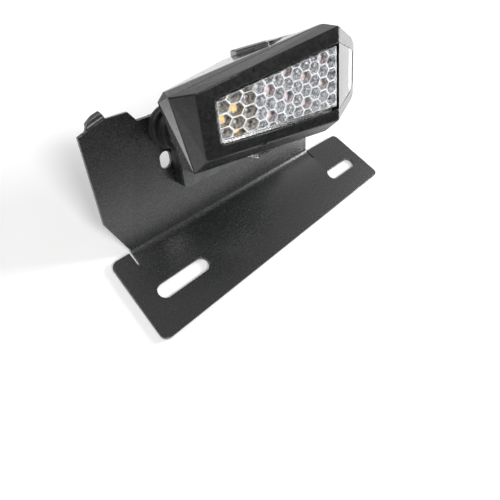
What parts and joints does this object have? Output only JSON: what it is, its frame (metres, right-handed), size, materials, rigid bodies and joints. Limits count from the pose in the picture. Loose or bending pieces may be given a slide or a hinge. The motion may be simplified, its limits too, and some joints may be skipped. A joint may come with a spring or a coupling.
{
  "type": "tail tidy",
  "caption": "Folded black steel plate carrier with slotted bar and upright panel, holding a prow-shaped tail lamp with a honeycomb reflector behind a clear lens.",
  "frame": {"origin": "centre of the two plate slots on the front face of the bar", "axes": "+X along the bar, +Y towards the fold, +Z out of the front face of the bar"},
  "size_m": [0.2, 0.0896, 0.1181],
  "materials": {
    "powder_coat": "fine textured satin black powder coat",
    "bezel_plastic": "polished black moulding",
    "housing_plastic": "satin black moulding",
    "clear_plastic": "clear moulded plastic",
    "seal_rubber": "soft black rubber",
    "silvered_plastic": "silvered moulding",
    "board": "white solder mask",
    "red_diode": "red diode package",
    "amber_diode": "amber diode package",
    "white_diode": "white diode package",
    "plate_paint": "smooth black paint",
    "pad_rubber": "moulded black rubber",
    "zinc_steel": "zinc plated steel"
  },
  "bodies": {
    "root": {"bracket": "powder_coat", "lamp_bezel": "bezel_plastic", "lamp_housing": "housing_plastic", "lens": "clear_plastic", "lens_seal": "seal_rubber", "reflector_left": "silvered_plastic", "reflector_right": "silvered_plastic", "circuit_board_left": "board", "circuit_board_right": "board", "tail_leds": "red_diode", "indicator_leds_left": "amber_diode", "indicator_leds_right": "amber_diode", "plate_light_lens": "clear_plastic", "plate_light_board": "board", "plate_light_leds": "white_diode", "lamp_plate": "plate_paint", "lamp_pad": "pad_rubber", "damper_left": "pad_rubber", "damper_right": "pad_rubber", "lamp_studs": "zinc_steel", "flat_washers": "zinc_steel", "spring_washers": "zinc_steel", "lamp_nuts": "zinc_steel", "cable_grommet": "pad_rubber", "plate_screws": "zinc_steel"}
  },
  "joints": []
}
